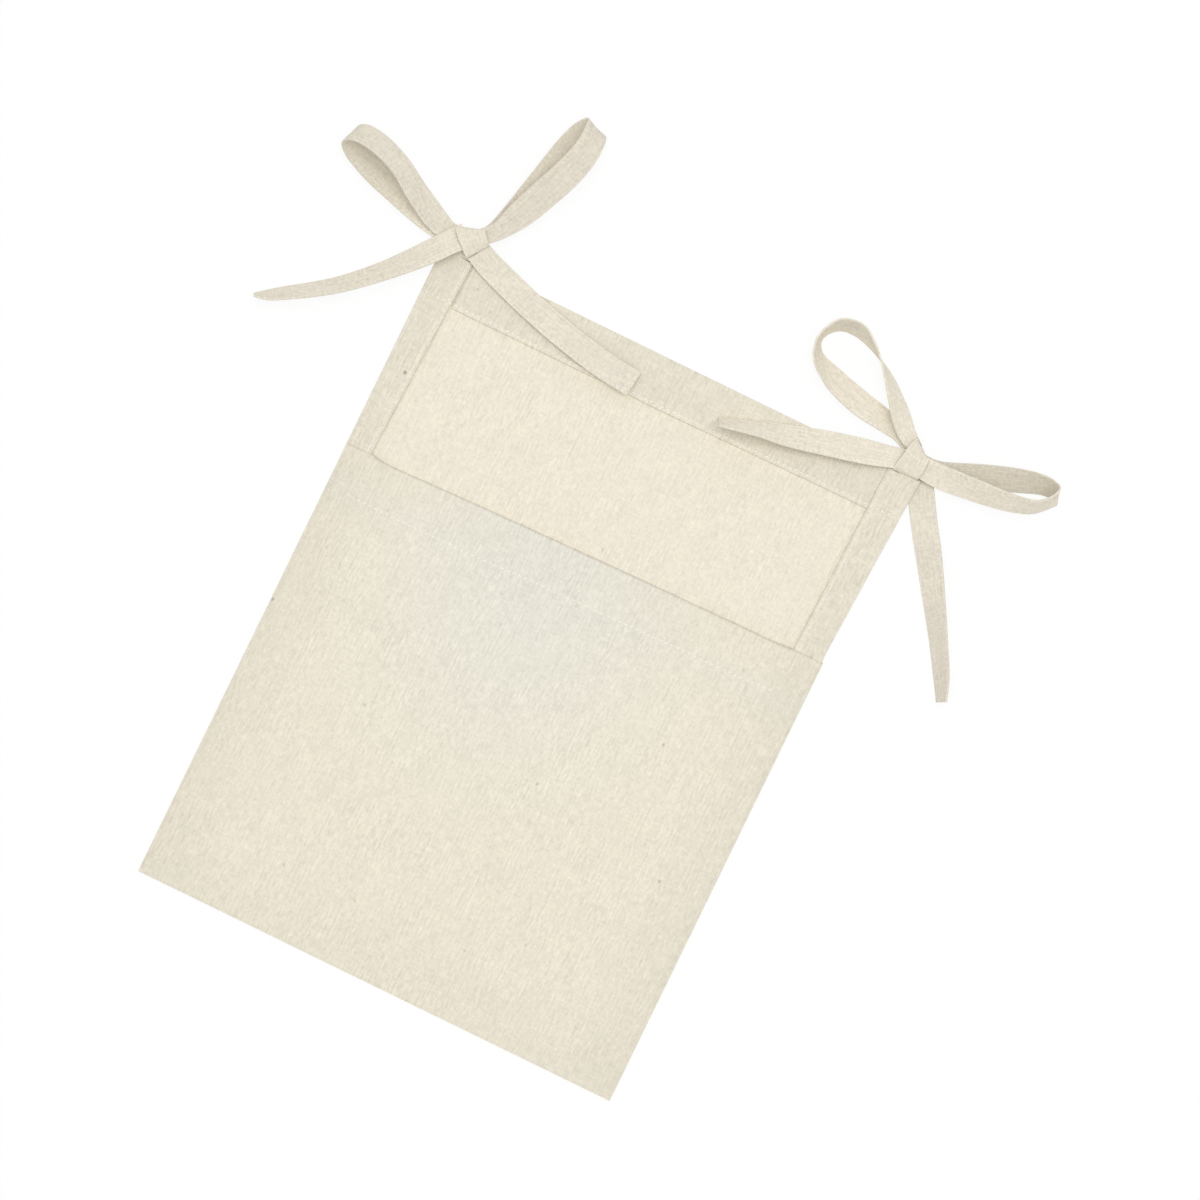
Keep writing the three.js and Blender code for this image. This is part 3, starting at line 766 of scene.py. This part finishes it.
strand("right_inner_loop", [
    (-1.2, 4.6, 4.4, 240, 0, 0.5),
    (-9.2, 9.9, 3.6, 238, 16, 0.73),
    (-18.6, 19.6, 2.4, 228, 49, 1),
    (-27.2, 28.6, 0.8, 222, 67, 1),
    (-34.8, 35.2, 0.4, 222, 86, 1),
    (-42.4, 40.2, 0.4, 60, 77, 1),
    (-50.4, 43.5, 0.4, 85, 64, 1),
    (-59, 42.2, 0.4, 118, 67, 1),
    (-64.4, 35.8, 0.4, 165, 79, 1),
    (-65.3, 29.3, 0.4, 200, 77, 1),
    (-60.8, 22.4, 0.4, 228, 59, 1),
    (-49.4, 17, 0.4, 252, 32, 1),
    (-35, 12.9, 0.4, 256, 18, 0.98),
    (-20, 10.4, 0.5, 250, 16, 0.85),
    (-10.6, 7.9, 1.2, 241, 10, 0.65),
    (-1, 3, 2.8, 240, 0, 0.6),
], RIGHT_KNOT, "right_bow", (-9.5, 9.5), 150, face=-0.035,
       inside=lambda s: mix(-0.04, 0.06, ease(1 - abs(s - 0.43) / 0.1)))

strand("right_outer_loop", [
    (1, -1.5, 4.6, 95, 0, 0.75),
    (13.5, -2.1, 3.6, 95, 18, 0.92),
    (28.7, -1.2, 6.5, 96, 37, 1),
    (47, 0.6, 10.5, 99, 50, 1),
    (58.5, 3.2, 10, 104, 61, 1),
    (64.5, 7.4, 7.5, 110, 66, 1),
    (68.3, 13, 4.2, 112, 63, 1),
    (66.3, 15.6, 1.2, 107, 55, 1),
    (59, 15.5, 0.4, 100, 46, 1),
    (48, 12.3, 0.4, 98, 30, 1),
    (33, 6.8, 0.4, 98, 24, 1),
    (13.2, 0.2, 1.6, 95, 8, 0.75),
    (1.5, 0, 2.8, 95, 0, 0.7),
], RIGHT_KNOT, "right_bow", (13.5, -2.2), 5, inside=lambda s: 0.106, face=-0.05)

strand("right_inner_tail", [
    (-1, -1, 4.2, 278, 0, 0.75),
    (-11.5, -4.1, 3.6, 280, 10, 0.82),
    (-24.5, -7.4, 2.4, 284, 20, 1),
    (-41, -11.4, 1.95, 285, 22, 1),
    (-57, -15.8, 1.95, 284, 34, 1),
    (-71, -19.1, 1.95, 283, 53, 1),
    (-82, -22, 1.95, 285, 62, 1),
    (-91.3, -24.7, 1.95, 288, 69, 1),
], RIGHT_KNOT, "right_bow", (-11.5, -4.3), 190, face=-0.05, hemmed=True)

strand("right_outer_tail", [
    (5, -5, 0.2, 33, 0, 1),
    (10.6, -13.8, 0.2, 33, 0, 1),
    (18, -25.6, 0.3, 31, 4, 0.98),
    (28, -40.7, 0.4, 30, 25, 1),
    (43.2, -64.7, 0.4, 29, 47, 1),
    (55.6, -85.3, 0.4, 25, 59, 1),
    (61.8, -98, 0.4, 20, 73, 1),
], RIGHT_KNOT, "right_bow", (13.6, -12.6), -57, bend=2, face=0.02, hemmed=True)

left_wrap = tape("left_knot_wrap", "left_knot", [
    (-2.7, 5.1, 2.2, 18, 0, 1.08),
    (-2.4, 4.7, 5.8, 18.6, 0, 1.08),
    (-0.5, 2.2, 7.4, 28, 0, 1.03),
    (2.5, -0.8, 7.2, 42, 0, 0.98),
    (4.5, -2.8, 5.6, 55, 0, 0.96),
    (4.9, -3.3, 4.2, 56, 0, 0.95),
], LEFT_KNOT, sewn=-1)
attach(left_wrap, "left_bow")

right_wrap = tape("right_knot_wrap", "right_knot", [
    (1.3, 6, 2.2, -40, 0, 0.88),
    (0.8, 5.3, 5.6, -40, 0, 0.89),
    (0.4, 2.4, 7.2, -22, 0, 0.93),
    (0.1, -2, 7.2, -6, 0, 0.97),
    (-0.8, -7.2, 5.6, 2, 0, 1),
    (-1, -8.1, 2.6, 2.6, 0, 1.01),
], RIGHT_KNOT)
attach(right_wrap, "right_bow")

left_root = tape("left_tie_root_tape", "left_tie_root", [
    (-4, -20, 0.7, 180, 0, 1),
    (-4, -9, 0.7, 180, 0, 1),
    (-4, -6, 1.2, 180, 0, 0.8),
    (-2, -1, 1.8, 180, 0, 0.6),
], LEFT_KNOT)
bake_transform(left_root)

right_root = tape("right_tie_root_tape", "right_tie_root", [
    (-1.3, -18, 1.8, 180, 0, 1),
    (-1.3, -8, 2.5, 180, 0, 1),
    (-1.3, -5, 2.2, 180, 0, 0.8),
    (-0.5, -1, 1.8, 180, 0, 0.6),
], RIGHT_KNOT)
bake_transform(right_root)


# Floor, light and camera

floor_mesh = bmesh.new()
bmesh.ops.create_grid(floor_mesh, x_segments=1, y_segments=1, size=3.0)
floor = piece("floor", floor_mesh, white_floor())
floor.data.transform(Matrix.Translation((0, 0, -FLOOR_DROP)))

scene = bpy.context.scene
world = bpy.data.worlds.new("studio")
scene.world = world
world.use_nodes = True
sky = world.node_tree.nodes["Background"]
sky.inputs["Color"].default_value = (1, 1, 1, 1)
sky.inputs["Strength"].default_value = 0.62

lamp = bpy.data.lights.new("soft_box", "AREA")
lamp.shape = "RECTANGLE"
lamp.size = 2.0
lamp.size_y = 1.6
lamp.energy = 27.0
soft_box = bpy.data.objects.new("soft_box", lamp)
scene.collection.objects.link(soft_box)
soft_box.location = (0.05, 0.4, 2.4)
soft_box.rotation_euler = (Vector((0, 0.03, 0)) - soft_box.location).to_track_quat("-Z", "Y").to_euler()

camera_data = bpy.data.cameras.new("camera")
camera_data.sensor_width = 36.0
camera_data.lens = 150.0
camera_data.dof.use_dof = False
camera = bpy.data.objects.new("camera", camera_data)
scene.collection.objects.link(camera)
camera.location = (0.0162, 0.0472, FRAME_WIDTH * camera_data.lens / camera_data.sensor_width)
camera.rotation_euler = (0, 0, math.radians(PICTURE_TURN))
scene.camera = camera
scene.view_settings.view_transform = "Standard"
